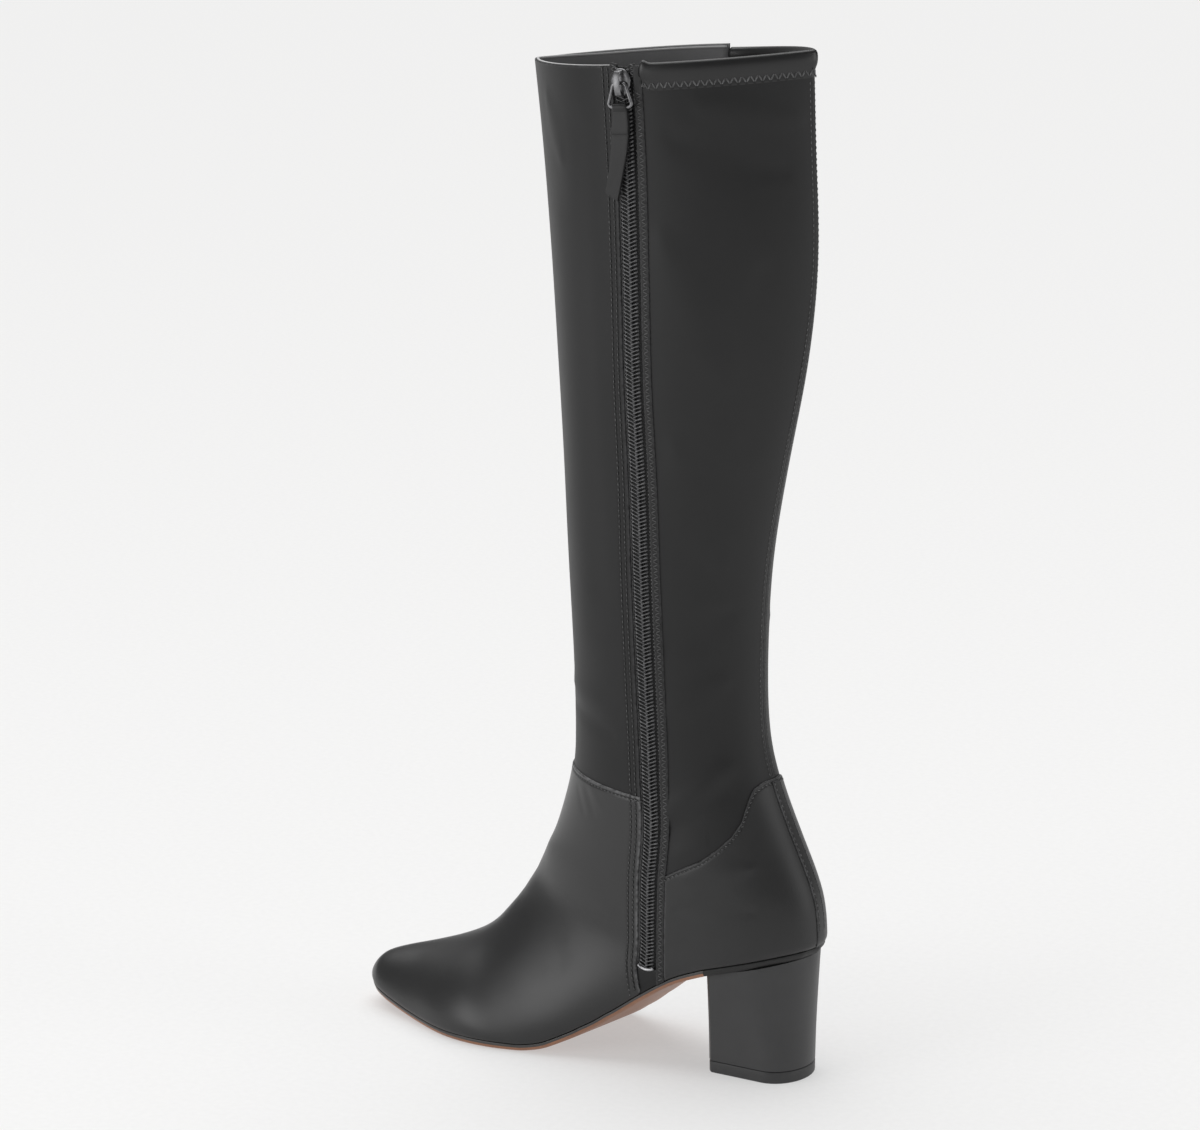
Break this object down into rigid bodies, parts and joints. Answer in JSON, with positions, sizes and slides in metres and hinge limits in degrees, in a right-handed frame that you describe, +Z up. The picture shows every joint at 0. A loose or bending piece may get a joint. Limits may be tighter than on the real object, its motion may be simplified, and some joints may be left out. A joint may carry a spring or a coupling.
{
  "type": "knee-high boot",
  "caption": "Right knee-high boot in black leather: almond toe, curved waist, block heel, stretch back panel and a full-length zip on the inner side with a swinging pull.",
  "frame": {"origin": "middle of the heel's ground face, on the floor", "axes": "-X towards the toe, +Z up the shaft, -Y towards the inner (zip) side"},
  "size_m": [0.2414, 0.0971, 0.4774],
  "materials": {
    "black_leather": "satin",
    "stretch_fabric": "matt",
    "lining_leather": "matt",
    "sole_leather": "satin",
    "lift_rubber": "matt",
    "zip_fabric": "matt",
    "zip_coil": "satin",
    "zip_metal": "polished"
  },
  "bodies": {
    "boot": {"upper": "black_leather", "counter": "black_leather", "collar_hem": "stretch_fabric", "insole": "lining_leather", "outsole": "sole_leather", "heel_block": "black_leather", "heel_lift": "lift_rubber", "zip_tape": "zip_fabric", "zip_teeth": "zip_coil", "zip_bottom_stop": "zip_metal", "zip_slider": "zip_metal"},
    "pull": {"pull_ring": "zip_metal", "pull_tab": "black_leather"}
  },
  "joints": [
    {"name": "pull_swing", "type": "hinge", "parent": "boot", "child": "pull", "pos_m": [-0.05278, -0.0484, 0.4635], "axis": [-0.9968, -0.038, -0.0697], "range_deg": [0, 150]}
  ]
}
